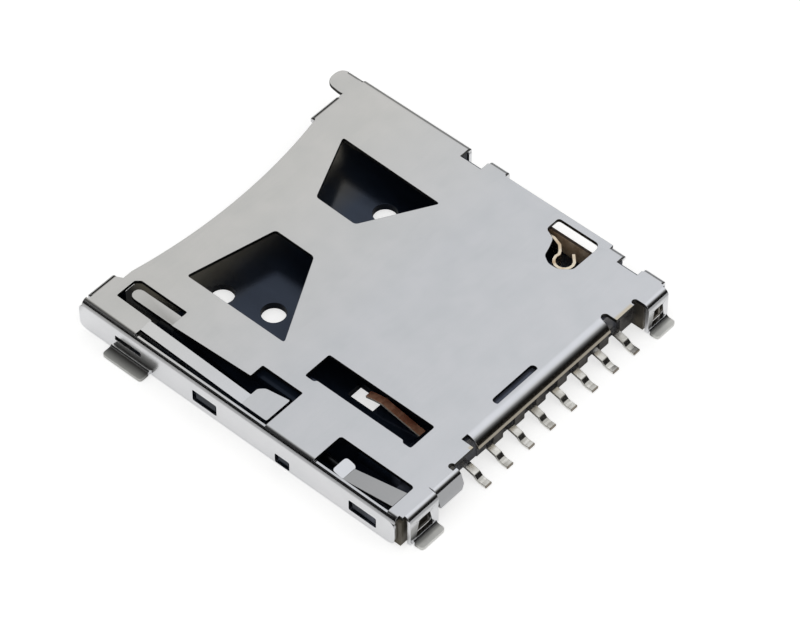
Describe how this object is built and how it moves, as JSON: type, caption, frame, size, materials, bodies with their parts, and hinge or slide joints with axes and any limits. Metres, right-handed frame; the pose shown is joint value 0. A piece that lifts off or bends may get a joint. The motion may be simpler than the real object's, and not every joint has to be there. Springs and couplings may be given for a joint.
{
  "type": "memory card connector",
  "caption": "Low surface-mount socket for a small memory card, with a folded metal shell, moulded base, contact row, card-detect switch and push-in, push-out ejector.",
  "frame": {"origin": "middle of the shell's width and length, on the board's upper face", "axes": "+Z away from the board, +Y the way the card goes in, +X towards the ejector's side"},
  "size_m": [0.0152, 0.0158, 0.0014],
  "materials": {
    "shell_metal": "satin nickel plate on thin stainless sheet, stamped and folded",
    "housing_plastic": "black liquid-crystal polymer, moulded, slightly glossy",
    "slider_plastic": "black polymer, moulded",
    "contact_strip": "stamped copper alloy, gold on the arms and matt tin on the tails",
    "switch_strip": "stamped copper alloy with a thin gold plate",
    "pin_wire": "drawn stainless wire, dark",
    "spring_wire": "drawn stainless spring wire"
  },
  "bodies": {
    "base": {"shell": "shell_metal", "housing": "housing_plastic", "contact_1": "contact_strip", "contact_2": "contact_strip", "contact_3": "contact_strip", "contact_4": "contact_strip", "contact_5": "contact_strip", "contact_6": "contact_strip", "contact_7": "contact_strip", "contact_8": "contact_strip", "detect_spring": "switch_strip", "detect_terminal": "switch_strip", "eject_spring": "spring_wire"},
    "slider": {"slider": "slider_plastic"},
    "pin": {"cam_pin": "pin_wire"}
  },
  "joints": [
    {"name": "slider_slide", "type": "slide", "parent": "base", "child": "slider", "axis": [0, 1, 0], "range_m": [0, 0.0034], "stiffness_N_per_m": 150, "springref_m": -0.004, "deforming": ["eject_spring"]},
    {"name": "pin_swing", "type": "hinge", "parent": "base", "child": "pin", "pos_m": [0.00641, 0.00436, 0.0005], "axis": [0, 0, 1], "range_deg": [-5.5, 0]}
  ],
  "couplings": [
    {"joint": "pin_swing", "follows": "slider_slide", "rad_per_m": -27.72}
  ]
}
